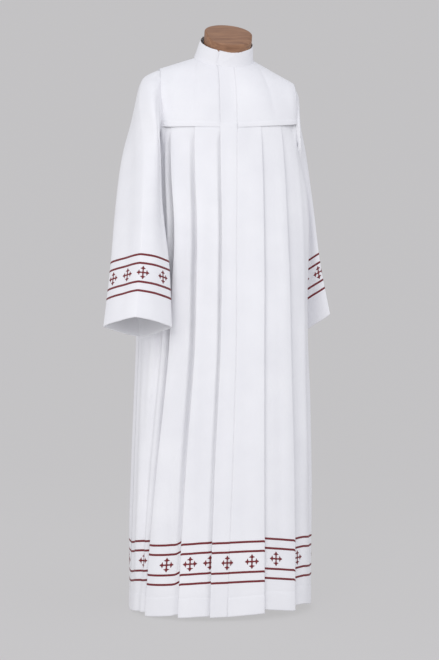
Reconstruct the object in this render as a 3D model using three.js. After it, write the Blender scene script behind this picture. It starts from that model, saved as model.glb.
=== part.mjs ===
// An alb worn on a limbless dress form: yoked, pleated cloth walls over a torso, a neck block and a stand.
// Millimetres, +Z up. The garment faces -Y, so +X is the wearer's left. The origin is under the base.
import * as THREE from 'three';

const DEG = Math.PI / 180;

// ---------------------------------------------------------------- driving sizes
const CLOTH = 1.2;            // skirt, placket and collar walls
const SLEEVE_CLOTH = 2.0;     // sleeve and yoke walls
const SEAM = 0.4;             // gap between two pieces at a seam
const SEAM_Z = 1280;          // height of the seam between yoke and skirt
const HEM_Z = 12;             // hem height at the centre front
const HEM_TILT = 8;           // the hem is this much lower at the wearer's right, higher at the left
const ROUNDNESS = 2.2;        // superellipse exponent of the body's sections
const SIDE_STEP = 8;          // how far the side panels lie inside the centre panel's line
const PLEAT_TURN = 3.0;       // from a fold's outer layer to its returning layer
const PLEAT_GAP = 0.6;        // from the returning layer to the layer under it
const PLEAT_DEPTH = 5.5;      // degrees that a pleat goes back under itself
const OVERLAP = 2.0;          // the placket lies this far outside the panel under it
const ARMHOLE_EDGE = 67.5;    // degrees from the centre to where the armhole meets the yoke seam
const ARMHOLE_DEPTH = 58;     // half the armhole's width, front to back
const UNDERARM_Z = 1222;
const NECK_EDGE = 0.5;        // part of a yoke's top line that is neckline, the rest is shoulder
const FORM_ROUNDNESS = 2;
const PLEAT_DROP = PLEAT_TURN + PLEAT_GAP;
const BACK_PLEAT = 32;        // degrees from the centre back to each back pleat at the yoke
const BACK_PLEAT_SPREAD = 8;  // degrees more at the hem
const YOKE_SWELL = 12;        // how far each half of the yoke is rounded out
const SKIRT_ROWS = [0, 0.14, 0.3, 0.46, 0.62, 0.78, 0.9, 1];
const YOKE_ROWS = [1, 0.8, 0.6, 0.4, 0.25, 0.12, 0];
const SLEEVE_RINGS = 15;
const SLEEVE_POINTS = 26;
const FORM_POINTS = 28;

// Body sections at the outermost cloth, by height: half width, half depth in front, half depth behind.
const BODY = table(['z', 'half', 'front', 'back'], [
  [0, 254, 190, 190],
  [200, 253, 183, 186],
  [420, 248, 174, 178],
  [690, 240, 162, 164],
  [895, 237, 150, 152],
  [1006, 231, 143, 146],
  [1143, 220, 134, 138],
  [1241, 210, 126, 132],
  [1311, 198, 120, 128],
  [1440, 193, 112, 120],
]);

// Where the pleats' fold edges and the placket's two edges run, in degrees round the body, by height.
const FOLD_COLUMNS = [
  'z', 'outerRight', 'innerRight', 'placketEdge', 'placketSeam', 'innerLeft', 'outerLeft',
];
const FOLDS = table(FOLD_COLUMNS, [
  [10, -62, -32.3, -13.6, -4.0, 15.8, 40.3],
  [400, -53, -30.0, -11.6, -1.4, 16.0, 40.4],
  [700, -44.5, -25.2, -9.5, 0.2, 16.6, 39.0],
  [1000, -42.5, -26.2, -8.2, 0.4, 17.4, 37.8],
  [1280, -54, -32.5, -10.4, 1.0, 18.8, 39.5],
  [1450, -54, -32.5, -8.3, 3.5, 18.8, 39.5],
]);

// How far a fold edge stands proud of its panel, by height.
const LIFT = table(['z', 'right', 'left'], [
  [10, 5, 3],
  [400, 6, 3],
  [800, 9, 4],
  [1100, 6, 3],
  [1280, 0, 0],
]);

// Shoulder tips: the wearer's right one sits a little higher than the left one.
const SHOULDER = {
  right: { side: -1, x: 184, y: -6, z: 1440 },
  left: { side: 1, x: 184, y: -6, z: 1416 },
};

// The neckline and the collar's top edge, as tilted ellipses.
const NECKLINE = { x: -8, y: -12, z: 1474, halfWidth: 77.5, halfDepth: 75, tilt: 24 };
const COLLAR_FOOT = { x: -8, y: -12, z: 1475, halfWidth: 78.5, halfDepth: 76, tilt: 24 };
const COLLAR_TOP = { x: -6, y: -34, z: 1514, halfWidth: 71, halfDepth: 66, tilt: 31 };
const COLLAR_START = -25;     // degrees: the collar's outer end, over the placket's free edge
const COLLAR_END = 362;       // its inner end has passed under the outer one
const NECK_CAP = { x: -5, y: -48, z: 1538, halfWidth: 61, halfDepth: 57, tilt: 31, thickness: 26 };

// Sleeves: the pressed crease line, the underarm line, and half the section from its middle to the front.
const SLEEVE_COLUMNS = ['cx', 'cy', 'cz', 'ux', 'uy', 'uz', 'qx', 'qy', 'qz'];
const SLEEVE_RIGHT = table(SLEEVE_COLUMNS, [
  [-184, -6, 1440, -204, 0, 1222, 0, -58, 0],
  [-230, -26, 1408, -218, 4, 1206, 4, -62, -4],
  [-246, -66, 1334, -236, 14, 1176, 14, -60, -4],
  [-240, -104, 1235, -248, 18, 1132, 38, -42, -6],
  [-243, -154, 1088, -259, 2, 1032, 52, -24, -6],
  [-252, -198, 932, -258, -36, 880, 68, -18, -8],
  [-264, -236, 784, -256, -95, 727, 86, -18, -8],
]);
const SLEEVE_LEFT = table(SLEEVE_COLUMNS, [
  [184, -6, 1416, 204, 0, 1222, 0, -58, 0],
  [204, 0, 1378, 214, 8, 1206, -4, -60, -4],
  [212, 8, 1305, 224, 26, 1176, -6, -56, -4],
  [230, 12, 1222, 234, 54, 1130, -10, -48, -6],
  [253, 16, 1080, 240, 100, 1024, -18, -36, -8],
  [275, 20, 930, 234, 148, 880, -26, -28, -8],
  [303, 25, 790, 218, 196, 741, -34, -18, -8],
]);

// The form under the cloth: half width, half depth and how far back its middle lies, by height.
const TORSO = table(['z', 'half', 'depth', 'y'], [
  [745, 120, 84, 0],
  [752, 148, 100, 0],
  [775, 162, 110, 0],
  [880, 170, 114, 0],
  [1040, 138, 96, 0],
  [1160, 150, 98, 0],
  [1280, 162, 94, 0],
  [1340, 164, 84, 0],
  [1385, 156, 68, -4],
  [1418, 132, 54, -8],
  [1440, 100, 46, -10],
  [1456, 74, 48, -12],
]);
const POLE_RADIUS = 14;
const BASE = { radius: 120, thickness: 10, edge: 3 };

// ---------------------------------------------------------------- tables and sections
function table(names, rows) {
  return rows.map((row) => Object.fromEntries(names.map((name, i) => [name, row[i]])));
}

function lookUp(rows, z, name) {
  if (z <= rows[0].z) return rows[0][name];
  for (let i = 1; i < rows.length; i += 1) {
    if (z <= rows[i].z) {
      const share = (z - rows[i - 1].z) / (rows[i].z - rows[i - 1].z);
      return THREE.MathUtils.lerp(rows[i - 1][name], rows[i][name], share);
    }
  }
  return rows[rows.length - 1][name];
}

function signedPower(value, power) {
  return Math.sign(value) * Math.abs(value) ** power;
}

// A point on the body's section at height z, `angle` degrees round from the centre front, moved out by `out`.
function onBody(angle, z, out = 0) {
  const sine = Math.sin(angle * DEG);
  const cosine = Math.cos(angle * DEG);
  const half = lookUp(BODY, z, 'half');
  const depth = lookUp(BODY, z, cosine > 0 ? 'front' : 'back');
  const x = half * signedPower(sine, 2 / ROUNDNESS);
  const y = -depth * signedPower(cosine, 2 / ROUNDNESS);
  const normal = new THREE.Vector2(
    signedPower(x / half, ROUNDNESS - 1) / half,
    signedPower(y / depth, ROUNDNESS - 1) / depth,
  ).normalize();
  return new THREE.Vector3(x + normal.x * out, y + normal.y * out, z);
}

function onTiltedEllipse(ring, angle, shrink = 0) {
  const across = (ring.halfWidth - shrink) * Math.sin(angle * DEG);
  const forward = (ring.halfDepth - shrink) * Math.cos(angle * DEG);
  return new THREE.Vector3(
    ring.x + across,
    ring.y - forward * Math.cos(ring.tilt * DEG),
    ring.z - forward * Math.sin(ring.tilt * DEG),
  );
}

// A point on an armhole's loop: 0 degrees at the shoulder tip, 90 in front, 180 under the arm.
function onArmhole(tip, angle) {
  const middle = (tip.z + UNDERARM_Z) / 2;
  const z = middle + (tip.z - middle) * Math.cos(angle * DEG);
  const y = -ARMHOLE_DEPTH * Math.sin(angle * DEG);
  const depth = lookUp(BODY, z, y < 0 ? 'front' : 'back') - SIDE_STEP;
  const half = lookUp(BODY, z, 'half') - SIDE_STEP;
  const section = half * (1 - (Math.abs(y) / depth) ** ROUNDNESS) ** (1 / ROUNDNESS);
  const out = z < SEAM_Z ? Math.max(section, tip.x) : tip.x;
  const rise = THREE.MathUtils.smoothstep(z, SEAM_Z, tip.z);
  return new THREE.Vector3(tip.side * out, y + tip.y * rise, z);
}

// ---------------------------------------------------------------- walls from grids
function closedWall(outer, inner, wraps = false) {
  const rows = outer.length;
  const columns = outer[0].length;
  const positions = [];
  for (const grid of [outer, inner]) {
    for (const row of grid) {
      for (const point of row) positions.push(point.x, point.y, point.z);
    }
  }
  const at = (side, row, column) => (side * rows + row) * columns + (column % columns);
  const faces = [];
  const quad = (a, b, c, d) => faces.push(a, b, c, a, c, d);
  const lastColumn = wraps ? columns : columns - 1;
  for (let row = 0; row < rows - 1; row += 1) {
    for (let column = 0; column < lastColumn; column += 1) {
      quad(at(0, row, column), at(0, row, column + 1), at(0, row + 1, column + 1), at(0, row + 1, column));
      quad(at(1, row, column), at(1, row + 1, column), at(1, row + 1, column + 1), at(1, row, column + 1));
    }
  }
  const end = rows - 1;
  for (let column = 0; column < lastColumn; column += 1) {
    quad(at(0, 0, column), at(1, 0, column), at(1, 0, column + 1), at(0, 0, column + 1));
    quad(at(0, end, column), at(0, end, column + 1), at(1, end, column + 1), at(1, end, column));
  }
  if (!wraps) {
    for (let row = 0; row < rows - 1; row += 1) {
      const last = columns - 1;
      quad(at(0, row, 0), at(0, row + 1, 0), at(1, row + 1, 0), at(1, row, 0));
      quad(at(0, row, last), at(1, row, last), at(1, row + 1, last), at(0, row + 1, last));
    }
  }
  return facingOut(positions, faces);
}

function facingOut(positions, faces) {
  const corner = (i) => new THREE.Vector3().fromArray(positions, 3 * faces[i]);
  let volume = 0;
  for (let i = 0; i < faces.length; i += 3) volume += corner(i).dot(corner(i + 1).cross(corner(i + 2)));
  const ordered = volume > 0 ? faces : faces.slice().reverse();
  const geometry = new THREE.BufferGeometry();
  geometry.setAttribute('position', new THREE.Float32BufferAttribute(positions, 3));
  geometry.setIndex(ordered);
  geometry.computeVertexNormals();
  return geometry;
}

// Outward normals of a grid whose rows run round the body and whose first row is at the bottom.
function gridNormals(grid) {
  const last = grid.length - 1;
  return grid.map((row, r) => row.map((_, c) => {
    const ahead = row[Math.min(c + 1, row.length - 1)];
    const along = new THREE.Vector3().subVectors(ahead, row[Math.max(c - 1, 0)]);
    const up = new THREE.Vector3().subVectors(grid[Math.min(r + 1, last)][c], grid[Math.max(r - 1, 0)][c]);
    return along.cross(up).normalize();
  }));
}

// ---------------------------------------------------------------- skirt panels
// A path is a list of [degrees, outward offset] in order of rising degrees.
// The cloth lies on the inner side of it.
function foldFacingBack(edge, top, lift) {
  return [
    [edge + PLEAT_DEPTH, top - PLEAT_TURN - PLEAT_GAP],
    [edge + PLEAT_DEPTH, top - PLEAT_TURN],
    [edge, top + lift - PLEAT_TURN],
    [edge, top + lift],
  ];
}

function foldFacingAhead(edge, top, lift) {
  return [
    [edge, top + lift],
    [edge, top + lift - PLEAT_TURN],
    [edge - PLEAT_DEPTH, top - PLEAT_TURN],
    [edge - PLEAT_DEPTH, top - PLEAT_TURN - PLEAT_GAP],
  ];
}

function flat(from, to, offset, steps) {
  const points = [];
  for (let i = 0; i <= steps; i += 1) {
    const share = i / steps;
    points.push([THREE.MathUtils.lerp(from, to, share), offset(share)]);
  }
  return points;
}

const steady = (value) => () => value;
const easing = (from, to) => (share) => THREE.MathUtils.lerp(from, to, share * share * (3 - 2 * share));

function frontRightPath(z) {
  const fold = (name) => lookUp(FOLDS, z, name);
  const lift = lookUp(LIFT, z, 'right');
  const centre = -OVERLAP;
  const middle = centre - PLEAT_DROP;
  const side = middle - PLEAT_DROP;
  return [
    ...armholeSteps(-90, -ARMHOLE_EDGE).map((angle) => [angle, -SIDE_STEP]),
    ...flat(-ARMHOLE_EDGE + 2.5, fold('outerRight') - 1.5, steady(side), 1),
    ...foldFacingBack(fold('outerRight'), middle, lift),
    ...flat(fold('outerRight') + 7, fold('innerRight') - 1.5, easing(middle + lift * 0.5, middle), 2),
    ...foldFacingBack(fold('innerRight'), centre, lift),
    ...flat(fold('innerRight') + 7, fold('placketEdge') - 1.5, easing(centre + lift * 0.5, centre), 1),
    ...placketAngles(z).map((angle) => [angle, centre]),
  ];
}

function frontLeftPath(z) {
  const fold = (name) => lookUp(FOLDS, z, name);
  const lift = lookUp(LIFT, z, 'left');
  return [
    ...flat(fold('placketSeam') + 0.1, fold('innerLeft') - 6.5, easing(0, lift * 0.5), 1),
    ...foldFacingAhead(fold('innerLeft'), 0, lift),
    ...flat(
      fold('innerLeft') + 1.5,
      fold('outerLeft') - 6.5,
      easing(-PLEAT_DROP, lift * 0.5 - PLEAT_DROP),
      2,
    ),
    ...foldFacingAhead(fold('outerLeft'), -PLEAT_DROP, lift),
    ...flat(fold('outerLeft') + 1.5, ARMHOLE_EDGE - 4, steady(-2 * PLEAT_DROP), 3),
    ...armholeSteps(ARMHOLE_EDGE, 90).map((angle) => [angle, -SIDE_STEP]),
  ];
}

function backPath(z) {
  const lift = lookUp(LIFT, z, 'left');
  const spread = BACK_PLEAT + BACK_PLEAT_SPREAD * (1 - z / SEAM_Z);
  const centre = PLEAT_DROP - SIDE_STEP;
  return [
    ...armholeSteps(90, 180 - ARMHOLE_EDGE).map((angle) => [angle, -SIDE_STEP]),
    ...flat(183 - ARMHOLE_EDGE, 180 - spread - 1.5, steady(-SIDE_STEP), 2),
    ...foldFacingBack(180 - spread, centre, lift),
    ...flat(180 - spread + 7, 180 + spread - 6.5, steady(centre + lift * 0.4), 5),
    ...foldFacingAhead(180 + spread, centre, lift),
    ...flat(180 + spread + 1.5, 177 + ARMHOLE_EDGE, steady(-SIDE_STEP), 2),
    ...armholeSteps(180 + ARMHOLE_EDGE, 270).map((angle) => [angle, -SIDE_STEP]),
  ];
}

// Angles from one end of the armhole's lower half to the other, clear of the side seam's gap.
function armholeSteps(from, to) {
  const seamTurn = 0.06;
  const clear = (angle) => {
    if (angle === -90) return angle + seamTurn;
    if (angle === 90) return from === 90 ? angle + seamTurn : angle - seamTurn;
    if (angle === 270) return angle - seamTurn;
    return angle;
  };
  return [0, 0.25, 0.5, 0.75, 1].map((share) => clear(THREE.MathUtils.lerp(from, to, share)));
}

// The skirt's top edge: the yoke seam, then down along the lower half of the armhole.
function skirtTop(angle) {
  const tip = angle > 180 || angle < 0 ? SHOULDER.right : SHOULDER.left;
  const forward = Math.abs(onBody(angle, (SEAM_Z + UNDERARM_Z) / 2, -SIDE_STEP).y);
  if (forward >= ARMHOLE_DEPTH) return SEAM_Z;
  const middle = (tip.z + UNDERARM_Z) / 2;
  const z = middle - (tip.z - middle) * Math.sqrt(1 - (forward / ARMHOLE_DEPTH) ** 2);
  return Math.min(SEAM_Z, z);
}

const hemHeight = (angle) => HEM_Z + HEM_TILT * Math.sin(angle * DEG);

function skirtPanel(path) {
  const outer = [];
  const inner = [];
  for (const share of SKIRT_ROWS) {
    const points = path(THREE.MathUtils.lerp(HEM_Z, SEAM_Z, share));
    const row = points.map(([angle, out]) => {
      const z = THREE.MathUtils.lerp(hemHeight(angle), skirtTop(angle), share);
      return onBody(angle, z, out);
    });
    outer.push(row);
    inner.push(offsetInPlan(row, CLOTH));
  }
  return closedWall(outer, inner);
}

// Moves an open path sideways in plan, with mitred corners, to the right-hand side of its direction.
function offsetInPlan(row, distance) {
  const sideOf = (from, to) => new THREE.Vector2(-(to.y - from.y), to.x - from.x).normalize();
  return row.map((point, i) => {
    const before = i > 0 ? sideOf(row[i - 1], point) : null;
    const after = i < row.length - 1 ? sideOf(point, row[i + 1]) : null;
    const mitre = new THREE.Vector2();
    if (before) mitre.add(before);
    if (after) mitre.add(after);
    mitre.normalize();
    const stretch = distance / Math.max(mitre.dot(before ?? after), 0.5);
    return new THREE.Vector3(point.x + mitre.x * stretch, point.y + mitre.y * stretch, point.z);
  });
}

// ---------------------------------------------------------------- yokes
const shareOfEdge = (angle) => Math.abs(angle) / ARMHOLE_EDGE;

// A point on a yoke, `angle` degrees from the centre, `down` from 0 at the top line to 1 at the seam.
function onYoke(angle, down, behind, out = 0) {
  const tip = angle < 0 ? SHOULDER.right : SHOULDER.left;
  const top = (a) => yokeTop(a, tip, behind);
  const bottom = (a) => yokeBottom(a, behind);
  const edge = tip.side * ARMHOLE_EDGE;
  const share = shareOfEdge(angle);
  const centreLine = centreProfile(down, top(0), bottom(0), behind);
  const armhole = yokeArmhole(tip, down, behind);
  const alongV = top(angle).lerp(bottom(angle), down);
  const alongU = centreLine.lerp(armhole, share);
  const corners = top(0).lerp(bottom(0), down).lerp(top(edge).lerp(bottom(edge), down), share);
  const point = alongV.add(alongU).sub(corners);
  const swell = YOKE_SWELL * Math.sin(Math.PI * down) * Math.sin(Math.PI * share);
  const face = behind ? 1 : -1;
  const shift = out * Math.max(0, 1 - 2.5 * share);
  return point.add(new THREE.Vector3(0, face * (swell + shift), swell * 0.6 + shift * (1 - down) * 0.4));
}

function yokeTop(angle, tip, behind) {
  const share = shareOfEdge(angle);
  const seam = new THREE.Vector3(0, behind ? SEAM / 2 : -SEAM / 2, 0);
  const turn = (a) => (behind ? 180 - a : a) * tip.side;
  if (share <= NECK_EDGE) return onTiltedEllipse(NECKLINE, turn((90 * share) / NECK_EDGE)).add(seam);
  const neckPoint = onTiltedEllipse(NECKLINE, turn(90));
  return neckPoint.lerp(onArmhole(tip, 0), (share - NECK_EDGE) / (1 - NECK_EDGE)).add(seam);
}

function yokeBottom(angle, behind) {
  const out = -SIDE_STEP * shareOfEdge(angle) ** 2;
  return onBody(behind ? 180 - angle : angle, SEAM_Z, out).setZ(SEAM_Z + SEAM);
}

function centreProfile(down, top, bottom, behind) {
  const swell = 5 * Math.sin(Math.PI * down);
  return top.lerp(bottom, down).add(new THREE.Vector3(0, behind ? swell : -swell, 0));
}

function yokeArmhole(tip, down, behind) {
  const middle = (tip.z + UNDERARM_Z) / 2;
  const end = Math.acos((SEAM_Z - middle) / (tip.z - middle)) / DEG;
  const turn = down * end;
  const point = onArmhole(tip, behind ? 360 - turn : turn);
  point.z += SEAM * down;
  point.y += (behind ? SEAM / 2 : -SEAM / 2) * (1 - down);
  return point;
}

function yokePanel(angles, behind, out = 0) {
  const outer = YOKE_ROWS.map((down) => angles(down).map((angle) => onYoke(angle, down, behind, out)));
  const normals = gridNormals(outer);
  const inner = outer.map((row, r) => row.map((point, c) => {
    const normal = normals[r][c];
    if (behind) normal.negate();
    const angle = angles(YOKE_ROWS[r])[c];
    if (YOKE_ROWS[r] === 0 && shareOfEdge(angle) >= NECK_EDGE) normal.y = 0;
    if (shareOfEdge(angle) === 1) normal.x = 0;
    return point.clone().addScaledVector(normal.normalize(), -SLEEVE_CLOTH);
  }));
  return closedWall(outer, inner);
}

function spread(from, to, steps) {
  return Array.from({ length: steps + 1 }, (_, i) => THREE.MathUtils.lerp(from, to, i / steps));
}

const placketHeight = (down) => THREE.MathUtils.lerp(1450, SEAM_Z, down);

function yokeFrontRight() {
  const angles = (down) => {
    const under = placketAngles(placketHeight(down));
    return [...spread(-ARMHOLE_EDGE, under[0] - 1, 9), ...under];
  };
  return yokePanel(angles, false, -OVERLAP);
}

function yokeFrontLeft() {
  const edge = (down) => lookUp(FOLDS, placketHeight(down), 'placketSeam') + 0.1;
  return yokePanel((down) => spread(edge(down), ARMHOLE_EDGE, 12), false);
}

function yokeBack() {
  return yokePanel(() => spread(-ARMHOLE_EDGE, ARMHOLE_EDGE, 24), true);
}

// ---------------------------------------------------------------- placket and collar
function placket() {
  const outer = [];
  const skirtRows = SKIRT_ROWS.slice(0, -1).concat(0.97);
  for (const share of skirtRows) {
    const nominal = THREE.MathUtils.lerp(HEM_Z, SEAM_Z, share);
    outer.push(placketAngles(nominal).map((angle) => {
      const z = THREE.MathUtils.lerp(hemHeight(angle), SEAM_Z, share);
      return onBody(angle, z, 0);
    }));
  }
  for (const down of YOKE_ROWS) {
    outer.push(placketAngles(placketHeight(down)).map((angle) => onYoke(angle, down, false)));
  }
  const normals = gridNormals(outer);
  const inner = outer.map((row, r) => row.map((point, c) => (
    point.clone().addScaledVector(normals[r][c], -CLOTH)
  )));
  return closedWall(outer, inner);
}

function placketAngles(z) {
  return spread(lookUp(FOLDS, z, 'placketEdge'), lookUp(FOLDS, z, 'placketSeam') - 0.1, 3);
}

function collar() {
  const angles = [
    ...spread(COLLAR_START, 325, 35),
    ...spread(335, COLLAR_END, 3),
  ];
  const under = (angle) => (angle > 330 ? 2.2 : 0);
  const grid = (thickness) => spread(0, 1, 3).map((share) => angles.map((angle) => {
    const shrink = under(angle) + thickness;
    const foot = onTiltedEllipse(COLLAR_FOOT, angle, shrink);
    foot.z += 3 * SEAM;
    return foot.lerp(onTiltedEllipse(COLLAR_TOP, angle, shrink), share);
  }));
  return closedWall(grid(0), grid(CLOTH));
}

// ---------------------------------------------------------------- sleeves

function sleeve(rows, tip) {
  const curve = (x, y, z) => new THREE.CatmullRomCurve3(
    rows.map((row) => new THREE.Vector3(row[x], row[y], row[z])),
  );
  const crease = curve('cx', 'cy', 'cz');
  const underarm = curve('ux', 'uy', 'uz');
  const front = curve('qx', 'qy', 'qz');
  const outer = [];
  const inner = [];
  for (let ring = 0; ring < SLEEVE_RINGS; ring += 1) {
    const share = ring / (SLEEVE_RINGS - 1);
    const top = crease.getPoint(share);
    const middle = top.clone().lerp(underarm.getPoint(share), 0.5);
    const reach = top.clone().sub(middle);
    const across = front.getPoint(share);
    const power = 2 / THREE.MathUtils.lerp(2, 1.6, share);
    const away = THREE.MathUtils.smoothstep(share, 0, 0.16);
    const row = spread(0, 360, SLEEVE_POINTS).slice(0, -1).map((angle) => {
      const point = middle.clone()
        .addScaledVector(reach, signedPower(Math.cos(angle * DEG), power))
        .addScaledVector(across, signedPower(Math.sin(angle * DEG), power));
      const start = onArmhole(tip, angle);
      start.x += tip.side * SEAM * 1.5;
      return start.lerp(point, away);
    });
    outer.push(row);
    inner.push(row.map((point) => {
      const inward = middle.clone().sub(point);
      if (ring === 0) inward.x = 0;
      return point.clone().addScaledVector(inward.normalize(), SLEEVE_CLOTH);
    }));
  }
  return closedWall(outer, inner, true);
}

// ---------------------------------------------------------------- form and stand
function cappedLoft(rings) {
  const count = rings[0].length;
  const positions = [];
  for (const ring of rings) {
    for (const point of ring) positions.push(point.x, point.y, point.z);
  }
  const faces = [];
  for (let r = 0; r < rings.length - 1; r += 1) {
    for (let c = 0; c < count; c += 1) {
      const next = (c + 1) % count;
      faces.push(r * count + c, r * count + next, (r + 1) * count + next);
      faces.push(r * count + c, (r + 1) * count + next, (r + 1) * count + c);
    }
  }
  const top = (rings.length - 1) * count;
  for (let c = 1; c < count - 1; c += 1) {
    faces.push(0, c + 1, c);
    faces.push(top, top + c, top + c + 1);
  }
  return facingOut(positions, faces);
}

function torso() {
  const angles = spread(0, 360, FORM_POINTS).slice(0, -1);
  const rings = TORSO.map((row) => angles.map((angle) => new THREE.Vector3(
    row.half * signedPower(Math.sin(angle * DEG), 2 / FORM_ROUNDNESS),
    row.y - row.depth * signedPower(Math.cos(angle * DEG), 2 / FORM_ROUNDNESS),
    row.z,
  )));
  const neckFoot = { ...NECKLINE, z: 1474, halfWidth: 60, halfDepth: 54, tilt: 14 };
  rings.push(angles.map((angle) => onTiltedEllipse(neckFoot, angle)));
  rings.push(angles.map((angle) => onTiltedEllipse(neckBlockRing(NECK_CAP.thickness + SEAM), angle, 3)));
  return cappedLoft(rings);
}

// The neck block's outline at a depth under its top face.
function neckBlockRing(depth) {
  return {
    ...NECK_CAP,
    y: NECK_CAP.y + depth * Math.sin(NECK_CAP.tilt * DEG),
    z: NECK_CAP.z - depth * Math.cos(NECK_CAP.tilt * DEG),
  };
}

function neckBlock() {
  const angles = spread(0, 360, 40).slice(0, -1);
  const levels = [[NECK_CAP.thickness, 0.5], [2, 0], [0, 2]];
  return cappedLoft(levels.map(([depth, shrink]) => (
    angles.map((angle) => onTiltedEllipse(neckBlockRing(depth), angle, shrink))
  )));
}

function standPole() {
  const length = TORSO[0].z - SEAM - (BASE.thickness + SEAM);
  const geometry = new THREE.CylinderGeometry(POLE_RADIUS, POLE_RADIUS, length, 24);
  geometry.rotateX(90 * DEG);
  geometry.translate(0, 0, BASE.thickness + SEAM + length / 2);
  return geometry;
}

function standBase() {
  const profile = [
    new THREE.Vector2(0, 0),
    new THREE.Vector2(BASE.radius, 0),
    new THREE.Vector2(BASE.radius, BASE.thickness - BASE.edge),
    new THREE.Vector2(BASE.radius - BASE.edge, BASE.thickness),
    new THREE.Vector2(0, BASE.thickness),
  ];
  return new THREE.LatheGeometry(profile, 40).rotateX(90 * DEG);
}

// ---------------------------------------------------------------- the object
const linen = new THREE.MeshStandardMaterial({ color: 0xe9e9ee, roughness: 0.85, metalness: 0 });
const jersey = new THREE.MeshStandardMaterial({ color: 0xd8d2c6, roughness: 0.9, metalness: 0 });
const wood = new THREE.MeshStandardMaterial({ color: 0x8a5a40, roughness: 0.55, metalness: 0 });
const paint = new THREE.MeshStandardMaterial({ color: 0xd9d9d9, roughness: 0.5, metalness: 0 });

const pieces = [
  ['yoke_front_right', yokeFrontRight(), linen],
  ['yoke_front_left', yokeFrontLeft(), linen],
  ['yoke_back', yokeBack(), linen],
  ['skirt_front_right', skirtPanel(frontRightPath), linen],
  ['skirt_front_left', skirtPanel(frontLeftPath), linen],
  ['skirt_back', skirtPanel(backPath), linen],
  ['placket', placket(), linen],
  ['collar', collar(), linen],
  ['sleeve_right', sleeve(SLEEVE_RIGHT, SHOULDER.right), linen],
  ['sleeve_left', sleeve(SLEEVE_LEFT, SHOULDER.left), linen],
  ['form_torso', torso(), jersey],
  ['neck_block', neckBlock(), wood],
  ['stand_pole', standPole(), paint],
  ['stand_base', standBase(), paint],
];

const alb = new THREE.Group();
for (const [name, geometry, material] of pieces) {
  const mesh = new THREE.Mesh(geometry, material);
  mesh.name = name;
  alb.add(mesh);
}

export default alb;
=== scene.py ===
# %% [markdown]
# An alb is a long white robe. This one hangs on a limbless dress form: the cloth takes its outline from
# the form's shoulders and falls from a yoke in a few pressed pleats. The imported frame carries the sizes;
# this lesson rebuilds every cloth piece as a fine sheet on the same section curves and finishes it.

# %% The frame
import bisect
import functools
import math

import bmesh
import bpy
from mathutils import Matrix, Vector


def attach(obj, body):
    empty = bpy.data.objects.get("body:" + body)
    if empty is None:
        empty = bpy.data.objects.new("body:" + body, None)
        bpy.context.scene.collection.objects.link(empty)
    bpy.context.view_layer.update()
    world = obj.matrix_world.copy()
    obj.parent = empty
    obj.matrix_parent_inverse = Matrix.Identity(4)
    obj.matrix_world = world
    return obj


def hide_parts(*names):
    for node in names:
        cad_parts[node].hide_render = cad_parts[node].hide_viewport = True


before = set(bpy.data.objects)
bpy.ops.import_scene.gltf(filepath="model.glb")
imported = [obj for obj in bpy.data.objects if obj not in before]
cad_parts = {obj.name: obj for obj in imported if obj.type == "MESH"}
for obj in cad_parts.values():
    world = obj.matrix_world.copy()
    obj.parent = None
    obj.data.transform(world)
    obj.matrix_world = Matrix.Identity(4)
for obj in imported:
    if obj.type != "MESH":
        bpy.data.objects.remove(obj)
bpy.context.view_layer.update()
MM = 0.001
print("nodes:", sorted(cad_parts))

# %% [markdown]
# ## The camera
# A tall object is best seen from far away with a long lens, so that its hem and its neck keep their true
# sizes. The camera stands at the wearer's right, at the height of the hips. A very small roll makes the
# form lean as a real one does on its stand.

# %% The camera
scene = bpy.context.scene
VIEW_TURN = math.radians(12)
VIEW_DISTANCE = 4.0
EYE_HEIGHT = 0.825
FRAME_WIDE, FRAME_TALL = 439, 660
FOCAL_IN_FRAMES = 1482 / FRAME_TALL
camera_data = bpy.data.cameras.new("eye")
camera_data.sensor_fit = "VERTICAL"
camera_data.sensor_height = 24
camera_data.lens = 24 * FOCAL_IN_FRAMES
camera_data.shift_y = -30 / FRAME_TALL
camera_data.shift_x = -4 / FRAME_TALL
camera = bpy.data.objects.new("eye", camera_data)
scene.collection.objects.link(camera)
away = Vector((-math.sin(VIEW_TURN), -math.cos(VIEW_TURN), 0))
camera.location = away * VIEW_DISTANCE + Vector((0, 0, EYE_HEIGHT))
camera.rotation_euler = (math.radians(90), math.radians(-0.6), -VIEW_TURN)
scene.camera = camera
print("camera at", [round(v, 3) for v in camera.location])

# %% [markdown]
# ## The cut of the robe in numbers
# The same few tables that shape the rigid walls shape the cloth: body sections by height, the angles of
# the pleats' folds, and the lines of each sleeve. Every sheet starts as a flat grid and its points are
# then moved onto the curves, which keeps the mesh even and the pleats sharp.

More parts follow.
